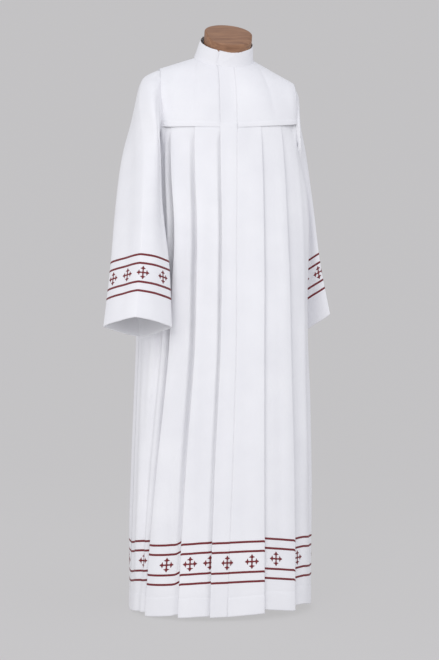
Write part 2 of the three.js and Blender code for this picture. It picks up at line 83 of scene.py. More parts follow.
# %% Section tables (millimetres)
SEAM_Z, HEM_Z, HEM_TILT = 1280, 12, 8
ROUNDNESS = 2.2
SIDE_STEP, PLEAT_TURN, PLEAT_GAP, PLEAT_DEPTH, OVERLAP = 8, 3.0, 0.6, 5.5, 2.0
ARMHOLE_EDGE, ARMHOLE_DEPTH, UNDERARM_Z, NECK_EDGE, YOKE_SWELL = 67.5, 58, 1222, 0.5, 12
PLEAT_DROP = PLEAT_TURN + PLEAT_GAP
BACK_PLEAT, BACK_PLEAT_SPREAD = 32, 8
BODY = {
    "z": [0, 200, 420, 690, 895, 1006, 1143, 1241, 1311, 1440],
    "half": [254, 253, 248, 240, 237, 231, 220, 210, 198, 193],
    "front": [190, 183, 174, 162, 150, 143, 134, 126, 120, 112],
    "back": [190, 186, 178, 164, 152, 146, 138, 132, 128, 120],
}
FOLDS = {
    "z": [10, 400, 700, 1000, 1280, 1450],
    "outer_right": [-60.4, -50.2, -42.6, -39.7, -53, -53],
    "inner_right": [-33, -28.6, -23.8, -23.1, -29.4, -29.4],
    "placket_edge": [-13.3, -11, -8.0, -7.3, -9.6, -8.5],
    "placket_seam": [-4.0, -1.4, 0.2, 0.4, 1.0, 3.5],
    "inner_left": [15.8, 16.0, 16.6, 17.4, 18.8, 18.8],
    "outer_left": [40.3, 40.4, 39.0, 37.8, 39.5, 39.5],
}
LIFT = {"z": [10, 400, 800, 1100, 1280], "right": [5, 6, 9, 6, 0], "left": [3, 3, 4, 3, 0]}
SHOULDER = {-1: (184, -6, 1440), 1: (184, -6, 1416)}
SHOULDER_SWELL = {-1: 8, 1: 0}
NECKLINE = {"x": -8, "y": -12, "z": 1474, "half": 77.5, "depth": 75, "tilt": 24}
COLLAR_FOOT = {"x": -8, "y": -12, "z": 1476.2, "half": 78.5, "depth": 76, "tilt": 24}
COLLAR_TOP = {"x": -6, "y": -34, "z": 1514, "half": 71, "depth": 66, "tilt": 31}


def look_up(table, z, name):
    rows, values = table["z"], table[name]
    i = bisect.bisect_left(rows, z)
    if i == 0:
        return values[0]
    if i == len(rows):
        return values[-1]
    return values[i - 1] + (values[i] - values[i - 1]) * (z - rows[i - 1]) / (rows[i] - rows[i - 1])


def eased(table, z, name, reach=60):
    """The table's value, rounded off at its rows so that the cloth has no kinks."""
    steps = [-1, -0.5, 0, 0.5, 1]
    low, high = table["z"][0], table["z"][-1]
    return sum(look_up(table, min(max(z + reach * s, low), high), name) for s in steps) / len(steps)


def signed_power(value, power):
    return math.copysign(abs(value) ** power, value)


def smooth(value, low, high):
    share = min(max((value - low) / (high - low), 0), 1)
    return share * share * (3 - 2 * share)


def mix(a, b, share):
    return a + (b - a) * share


def on_body(angle, z, out=0):
    turn = math.radians(angle)
    half = look_up(BODY, z, "half")
    depth = look_up(BODY, z, "front" if math.cos(turn) > 0 else "back")
    x = half * signed_power(math.sin(turn), 2 / ROUNDNESS)
    y = -depth * signed_power(math.cos(turn), 2 / ROUNDNESS)
    normal = Vector((
        signed_power(x / half, ROUNDNESS - 1) / half,
        signed_power(y / depth, ROUNDNESS - 1) / depth,
        0,
    )).normalized()
    return Vector((x, y, z)) + normal * out


def on_tilted_ellipse(ring, angle, shrink=0):
    turn, tilt = math.radians(angle), math.radians(ring["tilt"])
    forward = (ring["depth"] - shrink) * math.cos(turn)
    return Vector((
        ring["x"] + (ring["half"] - shrink) * math.sin(turn),
        ring["y"] - forward * math.cos(tilt),
        ring["z"] - forward * math.sin(tilt),
    ))


def on_armhole(side, angle):
    tip_x, tip_y, tip_z = SHOULDER[side]
    middle = (tip_z + UNDERARM_Z) / 2
    z = middle + (tip_z - middle) * math.cos(math.radians(angle))
    y = -ARMHOLE_DEPTH * math.sin(math.radians(angle))
    depth = look_up(BODY, z, "front" if y < 0 else "back") - SIDE_STEP
    half = look_up(BODY, z, "half") - SIDE_STEP
    section = half * (1 - (abs(y) / depth) ** ROUNDNESS) ** (1 / ROUNDNESS)
    out = max(section, tip_x) if z < SEAM_Z else tip_x
    out += SHOULDER_SWELL[side] * math.exp(-((z - 1380) / 34) ** 2)
    return Vector((side * out, y + tip_y * smooth(z, SEAM_Z, tip_z), z))


print("front length of the robe:", round((1477 - HEM_Z) * MM, 3), "m")

# %% [markdown]
# ## A sheet from a grid
# `create_grid` gives a flat sheet of even squares. Its corners know their column and row, so the sheet can
# be draped by moving each of them to a point on the body. Columns and rows may stand closer together
# where there is a fold or a stitch line. The UV map keeps real distances along the cloth in metres, so
# the weave and the stitches follow the cloth. Solidify gives the wall its thickness on the inner side.

# %% Draping a grid
CLOTH_THICK = 0.9


def evenly(count, start=0.0, end=1.0):
    return [mix(start, end, i / count) for i in range(count + 1)]


def draped_sheet(name, columns, rows, place, lay, wraps=False, thick=CLOTH_THICK, relief=None):
    """A grid with one corner at each pair of columns and rows; place(column, row) says where it goes, in
    millimetres, lay(column, row) where it lies on the flat cloth, and relief(column, row) how far it is
    then raised along the cloth's own normal."""
    wide, tall = len(columns) - 1, len(rows) - 1
    mesh = bmesh.new()
    bmesh.ops.create_grid(mesh, x_segments=wide, y_segments=tall, size=0.5, calc_uvs=True)
    uv_layer = mesh.loops.layers.uv.active or mesh.loops.layers.uv.new("UVMap")
    spots = {c: (round((c.co.x + 0.5) * wide), round((c.co.y + 0.5) * tall)) for c in mesh.verts}
    spots = {c: (columns[column], rows[row]) for c, (column, row) in spots.items()}
    for face in mesh.faces:
        face.smooth = True
        for loop in face.loops:
            loop[uv_layer].uv = Vector(lay(*spots[loop.vert])) * MM
    for corner, spot in spots.items():
        corner.co = Vector(place(*spot)) * MM
    if relief:
        mesh.normal_update()
        for corner, spot in spots.items():
            corner.co += corner.normal * relief(*spot) * MM
    if wraps:
        bmesh.ops.remove_doubles(mesh, verts=mesh.verts, dist=2e-5)
    return finished_sheet(name, mesh, thick)


def finished_sheet(name, mesh, thick):
    data = bpy.data.meshes.new(name)
    mesh.to_mesh(data)
    mesh.free()
    sheet = bpy.data.objects.new(name, data)
    scene.collection.objects.link(sheet)
    wall = sheet.modifiers.new("wall", "SOLIDIFY")
    wall.thickness = thick * MM
    wall.offset = -1
    wall.use_even_offset = False
    return sheet


def finish_cloth(sheet, node):
    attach(sheet, "root")
    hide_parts(node)
    print(sheet.name, len(sheet.data.polygons), "faces")


# %% [markdown]
# ## Materials
# The robe is a fine matt white cloth. Its weave is far smaller than a fold, so it is a bump of two crossed
# waves on the UV map, which is laid out in metres. Broad noise gives the cloth the faint unevenness of
# pressed fabric. The embroidery thread has the same idea at the scale of satin stitches, with painted
# shade in the grooves between its strands and a painted highlight on their crowns.

# %% Material helpers
def new_material(name, colour, roughness):
    material = bpy.data.materials.new(name)
    material.use_nodes = True
    nodes = material.node_tree.nodes
    shader = nodes["Principled BSDF"]
    shader.inputs["Base Color"].default_value = (*colour, 1)
    shader.inputs["Roughness"].default_value = roughness
    return material, nodes, material.node_tree.links, shader


def noise_node(nodes, links, vector, scale, detail=3):
    texture = nodes.new("ShaderNodeTexNoise")
    texture.inputs["Scale"].default_value = scale
    texture.inputs["Detail"].default_value = detail
    links.new(vector, texture.inputs["Vector"])
    return texture


def wave_node(nodes, links, vector, scale, direction):
    texture = nodes.new("ShaderNodeTexWave")
    texture.bands_direction = direction
    texture.inputs["Scale"].default_value = scale
    texture.inputs["Distortion"].default_value = 0.6
    texture.inputs["Detail"].default_value = 1
    links.new(vector, texture.inputs["Vector"])
    return texture


def bump_node(nodes, links, height, strength, distance, normal=None):
    bump = nodes.new("ShaderNodeBump")
    bump.inputs["Strength"].default_value = strength
    bump.inputs["Distance"].default_value = distance
    links.new(height, bump.inputs["Height"])
    if normal is not None:
        links.new(normal, bump.inputs["Normal"])
    return bump.outputs["Normal"]


def colour_ramp(nodes, links, factor, stops):
    ramp = nodes.new("ShaderNodeValToRGB")
    ramp.color_ramp.elements[0].position, ramp.color_ramp.elements[0].color = stops[0][0], (*stops[0][1], 1)
    ramp.color_ramp.elements[1].position, ramp.color_ramp.elements[1].color = stops[-1][0], (*stops[-1][1], 1)
    for position, colour in stops[1:-1]:
        ramp.color_ramp.elements.new(position).color = (*colour, 1)
    links.new(factor, ramp.inputs["Fac"])
    return ramp.outputs["Color"]


# %% White alb cloth
def make_alb_cloth():
    material, nodes, links, shader = new_material("alb_cloth_white", (0.86, 0.86, 0.885), 0.82)
    shader.inputs["Sheen Weight"].default_value = 0.25
    shader.inputs["Sheen Roughness"].default_value = 0.5
    shader.inputs["Specular IOR Level"].default_value = 0.25
    place = nodes.new("ShaderNodeTexCoord")
    mottle = noise_node(nodes, links, place.outputs["Object"], 9)
    tint = colour_ramp(nodes, links, mottle.outputs["Fac"],
                       [(0.3, (0.835, 0.835, 0.865)), (0.7, (0.88, 0.88, 0.905))])
    links.new(tint, shader.inputs["Base Color"])
    warp = wave_node(nodes, links, place.outputs["UV"], 620, "X")
    weft = wave_node(nodes, links, place.outputs["UV"], 620, "Y")
    ripple = noise_node(nodes, links, place.outputs["Object"], 16, 4)
    normal = bump_node(nodes, links, ripple.outputs["Fac"], 0.10, 0.010)
    normal = bump_node(nodes, links, warp.outputs["Fac"], 0.12, 0.0003, normal)
    normal = bump_node(nodes, links, weft.outputs["Fac"], 0.12, 0.0003, normal)
    links.new(normal, shader.inputs["Normal"])
    return material


alb_cloth = make_alb_cloth()


# %% Embroidery thread
def make_thread(name, dark, light):
    material, nodes, links, shader = new_material(name, light, 0.45)
    shader.inputs["Sheen Weight"].default_value = 0.08
    shader.inputs["Specular IOR Level"].default_value = 0.2
    place = nodes.new("ShaderNodeTexCoord")
    strand_ridges_and_shade = wave_node(nodes, links, place.outputs["UV"], 420, "X")
    # Painted shade and highlight: the same waves that raise the strands colour their grooves darker and their crowns
    # lighter.
    colour = colour_ramp(nodes, links, strand_ridges_and_shade.outputs["Fac"], [(0.1, dark), (0.8, light)])
    links.new(colour, shader.inputs["Base Color"])
    links.new(bump_node(nodes, links, strand_ridges_and_shade.outputs["Fac"], 0.5, 0.0006), shader.inputs["Normal"])
    return material


# Each thread gets a painted shade colour for the grooves between its strands and a painted highlight colour for their
# crowns.
red_thread = make_thread("embroidery_thread_red", (0.15, 0.020, 0.024), (0.25, 0.034, 0.040))
white_thread = make_thread("sewing_thread_white", (0.60, 0.60, 0.64), (0.78, 0.78, 0.81))


# %% Wood, jersey and paint
def make_wood():
    material, nodes, links, shader = new_material("neck_cap_wood", (0.30, 0.16, 0.10), 0.5)
    shader.inputs["Coat Weight"].default_value = 0.06
    shader.inputs["Coat Roughness"].default_value = 0.3
    place = nodes.new("ShaderNodeTexCoord")
    stretch = nodes.new("ShaderNodeMapping")
    stretch.inputs["Scale"].default_value = (1.2, 10, 10)
    links.new(place.outputs["Object"], stretch.inputs["Vector"])
    grain = noise_node(nodes, links, stretch.outputs["Vector"], 14, 6)
    colour = colour_ramp(nodes, links, grain.outputs["Fac"],
                         [(0.3, (0.22, 0.105, 0.055)), (0.5, (0.29, 0.145, 0.078)), (0.72, (0.37, 0.19, 0.10))])
    links.new(colour, shader.inputs["Base Color"])
    links.new(bump_node(nodes, links, grain.outputs["Fac"], 0.15, 0.001), shader.inputs["Normal"])
    return material


def make_jersey():
    material, nodes, links, shader = new_material("form_jersey_cream", (0.70, 0.66, 0.58), 0.9)
    place = nodes.new("ShaderNodeTexCoord")
    knit = wave_node(nodes, links, place.outputs["Object"], 300, "X")
    patches = noise_node(nodes, links, place.outputs["Object"], 12)
    colour = colour_ramp(nodes, links, patches.outputs["Fac"],
                         [(0.3, (0.64, 0.60, 0.52)), (0.7, (0.74, 0.70, 0.62))])
    links.new(colour, shader.inputs["Base Color"])
    links.new(bump_node(nodes, links, knit.outputs["Fac"], 0.3, 0.0005), shader.inputs["Normal"])
    return material


def make_stand_paint():
    material, nodes, links, shader = new_material("stand_paint_pale", (0.62, 0.62, 0.62), 0.5)
    place = nodes.new("ShaderNodeTexCoord")
    wear = noise_node(nodes, links, place.outputs["Object"], 30, 5)
    colour = colour_ramp(nodes, links, wear.outputs["Fac"],
                         [(0.3, (0.56, 0.56, 0.56)), (0.7, (0.66, 0.66, 0.65))])
    links.new(colour, shader.inputs["Base Color"])
    links.new(bump_node(nodes, links, wear.outputs["Fac"], 0.1, 0.0005), shader.inputs["Normal"])
    return material


neck_wood, form_jersey, stand_paint = make_wood(), make_jersey(), make_stand_paint()
print("materials:", len(bpy.data.materials))

# %% [markdown]
# ## The pleated skirt
# A knife pleat is a flat Z in the cloth: the outer layer runs to the fold, turns back under itself, turns
# again and goes on as the next panel. The sheet's columns walk along that Z. The centre panel is topmost
# and all folds look away from the centre. Where the panels hang free, each one dives deeper under its
# neighbour, so that dark gaps open beside the folds, most of all behind the arm on the wearer's right.
# Every panel also hangs a little higher or lower than the next one, which steps the hem at each fold.

# %% Depth of the pleats and the seam above them (millimetres)
GAP = {
    "z": [10, 300, 600, 850, 1050, 1180, 1250, 1280],
    "outer_right": [6, 9, 15, 22, 20, 12, 5, 1],
    "inner_right": [4, 8, 12, 14, 11, 6, 3, 1],
    "placket": [2, 3, 5, 6, 5, 3, 2, 2],
    "inner_left": [3, 3, 4, 4, 3, 2, 1, 0.5],
    "outer_left": [4, 5, 6, 6, 5, 4, 2, 0.5],
    "back": [5, 7, 9, 10, 8, 5, 2, 1],
}
SEAM_RISE = {
    "z": [-180, -113, -90, -67, -53, 0, 21, 39, 67.5, 90, 113, 150, 180],
    "rise": [5, 4, 6, 4, 1, 0, 7, 13, 22, 22, 20, 10, 5],
}


def seam_height(angle):
    return SEAM_Z + eased(SEAM_RISE, angle if angle <= 180 else angle - 360, "rise", 6)


# %% Pleat paths: lists of (degrees, outward offset, rise of the hem)
def stretch_of(start, end, steps, offset, rise, skip_first=False):
    first = 1 if skip_first else 0
    return [(mix(start, end, i / steps), offset(i / steps), rise(i / steps)) for i in range(first, steps + 1)]


def from_to(*values):
    """Runs evenly through the values as its share goes from 0 to 1."""
    if len(values) == 1:
        return lambda share: values[0]

    def at(share):
        spot = min(share, 0.9999) * (len(values) - 1)
        return mix(values[int(spot)], values[int(spot) + 1], spot - int(spot))
    return at


def fold_back(edge, top, lift, gap, low_rise, high_rise):
    """The turn of a fold whose free edge looks towards smaller degrees."""
    inner = edge + PLEAT_DEPTH
    under, turn, high = top - PLEAT_DROP - gap, top - PLEAT_TURN, top + lift
    turns = [
        (edge + 0.7, under), (mix(edge, inner, 0.5), under), (inner - 0.8, under), (inner - 0.1, under + 0.4),
        (inner, mix(under, turn, 0.5)), (inner - 0.1, turn - 0.2), (inner - 0.8, turn),
        (mix(inner, edge, 0.4), mix(turn, high - PLEAT_TURN, 0.4)),
        (mix(inner, edge, 0.75), mix(turn, high - PLEAT_TURN, 0.75)), (edge + 0.35, high - PLEAT_TURN),
        (edge + 0.08, high - PLEAT_TURN + 0.5), (edge, high - PLEAT_TURN * 0.5), (edge + 0.08, high - 0.5),
        (edge + 0.35, high), (edge + 1.0, high),
    ]
    last = len(turns) - 1
    return [(angle, out, mix(low_rise, high_rise, smooth(i / last, 0.1, 0.75)))
            for i, (angle, out) in enumerate(turns)]


def fold_ahead(edge, top, lift, gap, low_rise, high_rise):
    """The turn of a fold whose free edge looks towards larger degrees."""
    return [(2 * edge - angle, out, rise)
            for angle, out, rise in reversed(fold_back(edge, top, lift, gap, low_rise, high_rise))]


def dive(distance, gap, reach=5.0):
    """How far a panel has sunk at a distance in degrees before the fold that covers it."""
    return gap * smooth(distance, reach, 0.7)


def bump(value, middle, width):
    return math.exp(-((value - middle) / width) ** 2)


def arm_folds(distance, z):
    """The deep soft folds of the side panel under the wearer's right arm."""
    depth = look_up(GAP, z, "outer_right") / 24
    return depth * (5 * bump(distance, 7.2, 1.8) - 17 * bump(distance, 12.5, 3.2) + 3 * bump(distance, 19, 3))


def front_right_path(z):
    fold = lambda name: eased(FOLDS, z, name)
    gap = lambda name: eased(GAP, z, name, 40)
    lift = eased(LIFT, z, "right")
    centre, middle, side = -OVERLAP, -OVERLAP - PLEAT_DROP, -OVERLAP - 2 * PLEAT_DROP
    outer, inner, free = fold("outer_right"), fold("inner_right"), fold("placket_edge")
    armhole = [(angle, -SIDE_STEP + arm_folds(outer - angle, z), mix(2, -4, smooth(angle, -ARMHOLE_EDGE, -90)))
               for angle in evenly(14, -89.94, -ARMHOLE_EDGE)]
    side_panel = stretch_of(
        -ARMHOLE_EDGE, outer - 0.2, 20,
        lambda s: mix(-SIDE_STEP, side, s) + arm_folds(outer - mix(-ARMHOLE_EDGE, outer - 0.2, s), z)
        - dive(outer - mix(-ARMHOLE_EDGE, outer - 0.2, s), gap("outer_right")),
        from_to(2, 4), True)
    start, end = outer + 2.0, inner - 0.2
    second = stretch_of(
        start, end, 22,
        lambda s: middle + lift * (1 - smooth(s, 0, 0.7)) - dive(inner - mix(start, end, s), gap("inner_right")),
        from_to(-4, -2.5, -1, 1, 6))
    start_three, end_three = inner + 2.0, free - 0.2
    third = stretch_of(
        start_three, end_three, 16,
        lambda s: centre + lift * (1 - smooth(s, 0, 0.7)) - dive(free - mix(start_three, end_three, s),
                                                               gap("placket"), 2.2),
        from_to(-1, 1.5))
    hidden = stretch_of(free + 0.5, fold("placket_seam"), 5, from_to(centre - gap("placket"), centre),
                        from_to(1.5, 0))
    return (armhole + side_panel + fold_back(outer, middle, lift, gap("outer_right"), 4, -4) + second
            + fold_back(inner, centre, lift, gap("inner_right"), 6, -1) + third + hidden)


def front_left_path(z):
    fold = lambda name: eased(FOLDS, z, name)
    gap = lambda name: eased(GAP, z, name, 40)
    lift = eased(LIFT, z, "left")
    inner, outer = fold("inner_left"), fold("outer_left")
    first = stretch_of(fold("placket_seam"), inner - 2.0, 18, lambda s: lift * smooth(s, 0.2, 1) - 1.5 * math.sin(
        math.pi * s), from_to(-2, 0.6))
    rise_up = lambda s, depth: -depth * (1 - smooth(s, 0, 0.75)) ** 1.5
    second = stretch_of(
        inner + 0.2, outer - 2.0, 22,
        lambda s: lift * smooth(s, 0.5, 1) - PLEAT_DROP + rise_up(s, gap("inner_left")), from_to(9, 2, -5))
    third = stretch_of(
        outer + 0.2, ARMHOLE_EDGE, 20,
        lambda s: mix(-2 * PLEAT_DROP, -SIDE_STEP, s) + rise_up(s, gap("outer_left")), from_to(6, 3, -6))
    armhole = stretch_of(ARMHOLE_EDGE, 89.94, 14, from_to(-SIDE_STEP), from_to(-6, -14), True)
    return (first + fold_ahead(inner, 0, lift, gap("inner_left"), 9, 0.6) + second
            + fold_ahead(outer, -PLEAT_DROP, lift, gap("outer_left"), 6, -5) + third + armhole)


def back_path(z):
    gap = eased(GAP, z, "back", 40)
    lift = eased(LIFT, z, "left")
    spread = BACK_PLEAT + BACK_PLEAT_SPREAD * (1 - z / SEAM_Z)
    centre = PLEAT_DROP - SIDE_STEP
    left, right = 180 - spread, 180 + spread
    near_left = stretch_of(180 - ARMHOLE_EDGE, left - 0.2, 18,
                           lambda s: -SIDE_STEP - dive(left - mix(180 - ARMHOLE_EDGE, left - 0.2, s), gap),
                           from_to(-8, 0, 6), True)
    middle = stretch_of(left + 2.0, right - 2.0, 40,
                        lambda s: centre + lift * (1 - math.sin(math.pi * s)) - 2 * math.sin(math.pi * s) ** 2,
                        from_to(-4, 0, 2, 0, -3))
    near_right = stretch_of(right + 0.2, 180 + ARMHOLE_EDGE, 18,
                            lambda s: -SIDE_STEP - gap * (1 - smooth(s, 0, 0.5)), from_to(6, 5, 2))
    return (stretch_of(90.06, 180 - ARMHOLE_EDGE, 14, from_to(-SIDE_STEP), from_to(-14, -8)) + near_left
            + fold_back(left, centre, lift, gap, 6, -4) + middle
            + fold_ahead(right, centre, lift, gap, 6, -3) + near_right
            + stretch_of(180 + ARMHOLE_EDGE, 269.94, 14, from_to(-SIDE_STEP), from_to(2, -4), True))


# %% [markdown]
# Real cloth is never quite even. A short table of soft ridges and troughs is laid over the skirt:
# each has its angle, its lower and upper end, its width in degrees and its height. The long ones run
# down from the yoke and the armholes, the short ones sit over the hem.

# %% Soft folds of the skirt (millimetres and degrees)
SOFT_COLUMNS = ("angle", "low", "high", "width", "height")
SOFT_FOLDS = [dict(zip(SOFT_COLUMNS, row)) for row in (
    (-84, 60, 1100, 5, -5), (-73, 30, 640, 4, 4), (-66, 20, 520, 3, -4), (-50, 30, 500, 5, 3),
    (-38, 20, 420, 3, -5), (-19, 60, 900, 4, -2.0), (6, 20, 700, 5, -1.5), (10, 700, 1240, 5, 1.0),
    (28, 30, 700, 5, -2.5), (33, 700, 1240, 4, 1.5), (50, 20, 800, 5, -3), (60, 300, 1240, 4, 3),
    (70, 100, 700, 4, -5), (76, 900, 1240, 13, 12), (80, 200, 700, 5, 4), (88, 60, 1000, 4, -5),
    (96, 60, 1150, 5, -5), (106, 300, 1250, 5, 5), (118, 60, 980, 6, -5), (130, 40, 700, 5, 4),
    (138, 300, 1240, 4, -4), (158, 60, 900, 7, -4), (171, 300, 1240, 6, 3), (186, 40, 760, 7, -5),
    (203, 300, 1200, 6, 3), (222, 60, 1240, 5, -4), (233, 60, 800, 5, 4), (246, 300, 1250, 5, -6),
    (257, 100, 1180, 5, 5), (265, 60, 1000, 4, -4),
)]


@functools.cache
def folds_near(level):
    """The soft folds that reach a height, given in steps of 5 mm, each with its height there."""
    z, found = level * 5, []
    for fold in SOFT_FOLDS:
        rise = smooth(z, fold["low"] - 60, fold["low"] + 160)
        fall = 1 - smooth(z, fold["high"] - 160, fold["high"] + 60)
        if rise * fall > 0:
            found.append((fold["angle"], fold["width"], fold["height"] * rise * fall))
    return found


def soft_fold(angle, z):
    level = int(z // 5)
    share = z / 5 - level
    total = 0
    for part, near in ((1 - share, folds_near(level)), (share, folds_near(level + 1))):
        for at, width, height in near:
            across = (angle - at) / width
            if abs(across) < 3:
                total += part * height * math.exp(-across * across)
    return total


# %% Points of the skirt
TUCK = 2.0


@functools.cache
def top_at(step):
    """The height of the skirt's top edge, at an angle given in half degrees."""
    angle = step / 2
    side = -1 if angle > 180 or angle < 0 else 1
    seam = seam_height(angle)
    forward = abs(on_body(angle, (SEAM_Z + UNDERARM_Z) / 2, -SIDE_STEP).y)
    if forward >= ARMHOLE_DEPTH:
        return seam + TUCK
    middle = (SHOULDER[side][2] + UNDERARM_Z) / 2
    armhole = middle - (SHOULDER[side][2] - middle) * math.sqrt(1 - (forward / ARMHOLE_DEPTH) ** 2)
    return min(seam + TUCK, armhole)


def skirt_top(angle):
    step = math.floor(angle * 2)
    return mix(top_at(step), top_at(step + 1), angle * 2 - step)


def from_front(angle):
    """Degrees from the centre front or the centre back, whichever is nearer."""
    turned = abs((angle + 180) % 360 - 180)
    return min(turned, 180 - turned)


def yoke_sink(angle):
    """How far the yoke lies inside the widest section, above the pleats."""
    return -SIDE_STEP * min(from_front(angle) / ARMHOLE_EDGE, 1) ** 2


def armhole_pull(point, angle):
    """Takes the top of a side panel out to the rim of the armhole."""
    share = smooth(from_front(angle), ARMHOLE_EDGE - 8.5, ARMHOLE_EDGE - 5.5)
    rim = max(abs(point.x), SHOULDER[1][0] + 0.5)
    return Vector((math.copysign(rim, point.x) - point.x, 0, 0)) * share


def hem_height(angle):
    return HEM_Z + HEM_TILT * math.sin(math.radians(angle))


def skirt_place(path):
    """place(column, row) for a panel: the column may lie between two points of its path, and the row is
    its share of the way up."""
    paths = {}

    def at(column, row):
        z = mix(HEM_Z, SEAM_Z, row)
        if z not in paths:
            paths[z] = path(z)
        points = paths[z]
        low = max(0, min(int(column), len(points) - 2))
        angle, layer, rise = (mix(a, b, column - low) for a, b in zip(points[low], points[low + 1]))
        height = mix(hem_height(angle) + rise, skirt_top(angle), row)
        near_top = smooth(row, 1.0, 0.9)
        pressed = mix(0.25 * layer + 0.5 + yoke_sink(angle), layer, smooth(row, 1.0, 0.965))
        point = on_body(angle, height, pressed + near_top * soft_fold(angle, height))
        return point + armhole_pull(point, angle) * smooth(row, 0.9, 1)
    return at


def skirt_length(path, column):
    points = path(150)
    low = max(0, min(int(column), len(points) - 2))
    angle, _, rise = (mix(a, b, column - low) for a, b in zip(points[low], points[low + 1]))
    return skirt_top(angle) - hem_height(angle) - rise


def row_lengths(points):
    """How far along the cloth each point of a row lies, in millimetres."""
    lengths = [0]
    for a, b in zip(points, points[1:]):
        lengths.append(lengths[-1] + (b - a).length)
    return lengths


def spot_of(lengths, distance):
    """The column, or the place between two columns, at a distance along a row."""
    if distance <= lengths[0]:
        return 0.0
    for i in range(1, len(lengths)):
        if distance <= lengths[i]:
            return i - 1 + (distance - lengths[i - 1]) / max(lengths[i] - lengths[i - 1], 1e-6)
    return len(lengths) - 1.0


HEM_ROWS = [0, 3, 12, 24, 36, 44, 47, 49, 51, 54, 62, 70] + evenly(26, 76, 200) + evenly(84, 212, 1272)
SKIRT_ROWS = [height / 1272 for height in HEM_ROWS]
HEM_LINE = 49


def hem_relief(height):
    """The hem is two layers thick up to its stitch line, which draws the cloth in."""
    return 0.5 * (1 - smooth(height, HEM_LINE - 2, HEM_LINE + 1)) - 0.5 * bump(height, HEM_LINE, 1.6)


PANELS = {"skirt_front_right": front_right_path, "skirt_front_left": front_left_path, "skirt_back": back_path}
cloth_pieces, cloth_places, cloth_rows = {}, {}, {}

for node, path in PANELS.items():
    bare = skirt_place(path)
    columns = [float(i) for i in range(len(path(500)))]
    along = row_lengths([bare(column, 0.11) for column in columns])
    long = [skirt_length(path, column) for column in columns]
    sheet = draped_sheet(node + "_cloth", columns, SKIRT_ROWS, bare,
                         lambda column, row: (along[int(column)], row * long[int(column)]),
                         relief=lambda column, row: hem_relief(row * 1272))
    cloth_pieces[node], cloth_places[node], cloth_rows[node] = sheet, bare, along
    sheet.data.materials.append(alb_cloth)
    print(node, "is", round(along[-1]), "mm wide along its folds")

# %% [markdown]
# ## The yoke
# The yoke is fitted: it runs from the neckline and the shoulder's ridge down to the seam above the pleats.
# Its three panels share one function, so that their edges meet along the ridge and at the placket. Its
# lower edge is turned under and stitched down over the skirt, which leaves a flat raised strip there.

# %% Points of the yoke
STRIP = 9.5


def share_of_edge(angle):
    return abs(angle) / ARMHOLE_EDGE


def side_of(angle):
    return -1 if angle < 0 else 1


def yoke_top(angle, behind):
    share, side = share_of_edge(angle), side_of(angle)
    turn = lambda a: (180 - a if behind else a) * side
    if share <= NECK_EDGE:
        return on_tilted_ellipse(NECKLINE, turn(90 * share / NECK_EDGE))
    return on_tilted_ellipse(NECKLINE, turn(90)).lerp(on_armhole(side, 0), (share - NECK_EDGE) / (1 - NECK_EDGE))


def yoke_armhole(side, down, behind):
    tip_z = SHOULDER[side][2]
    middle = (tip_z + UNDERARM_Z) / 2
    edge = seam_height(side * (180 - ARMHOLE_EDGE if behind else ARMHOLE_EDGE))
    end = math.degrees(math.acos((edge - middle) / (tip_z - middle)))
    return on_armhole(side, 360 - down * end if behind else down * end)


def yoke_bottom(angle, behind):
    share, side = share_of_edge(angle), side_of(angle)
    turned = lambda a: 180 - a if behind else a
    point = on_body(turned(angle), SEAM_Z, -SIDE_STEP * share ** 2)
    point.z = seam_height(turned(angle) if turned(angle) <= 180 else turned(angle) - 360)
    edge = on_body(turned(side * ARMHOLE_EDGE), SEAM_Z, -SIDE_STEP)
    edge.z = seam_height(side * (180 - ARMHOLE_EDGE if behind else ARMHOLE_EDGE))
    return point + (yoke_armhole(side, 1, behind) - edge) * smooth(share, 0.6, 1)


def on_yoke(angle, down, behind, out=0):
    side, share = side_of(angle), share_of_edge(angle)
    edge = side * ARMHOLE_EDGE
    top, bottom = (lambda a: yoke_top(a, behind)), (lambda a: yoke_bottom(a, behind))
    face = 1 if behind else -1
    centre = top(0).lerp(bottom(0), down) + Vector((0, face * 5 * math.sin(math.pi * down), 0))
    along_down = top(angle).lerp(bottom(angle), down)
    along_across = centre.lerp(yoke_armhole(side, down, behind), share)
    corners = top(0).lerp(bottom(0), down).lerp(top(edge).lerp(bottom(edge), down), share)
    swell = YOKE_SWELL * math.sin(math.pi * down) * math.sin(math.pi * share)
    shift = out * max(0, 1 - 2.5 * share)
    lift = Vector((0, face * (swell + shift), swell * 0.6 + shift * (1 - down) * 0.4))
    return along_down + along_across - corners + lift


# %% Creases and the stitched strip of the yoke
YOKE_CREASES = (
    (-60, 0.60, 6, 0.35, -3.0), (-52, 0.35, 7, 0.30, 2.5), (-34, 0.45, 8, 0.40, -1.0), (-20, 0.25, 8, 0.3, 0.8),
    (20, 0.35, 9, 0.3, -0.6), (36, 0.55, 10, 0.35, 0.5), (52, 0.35, 10, 0.35, -1.4), (60, 0.65, 6, 0.3, 2.0),
)


def yoke_relief(angle, down, height):
    total = 0
    for at, level, width, length, size in YOKE_CREASES:
        total += size * bump(angle, at, width) * bump(down, level, length)
    total *= smooth(down, 0, 0.12) * (1 - smooth(down, 0.86, 1))
    strip = 0.9 * (1 - smooth(height, STRIP - 1, STRIP + 1.5)) + 0.5 * (1 - smooth(height, STRIP, STRIP + 30))
    stitches = -0.5 * bump(height, STRIP, 1.2)
    return total + strip + stitches


YOKE_TALL = 195
YOKE_ROWS = [0, 0.008, 0.02, 0.034, 0.042, 0.046, 0.05, 0.054, 0.062, 0.075] + evenly(40, 0.09, 1)


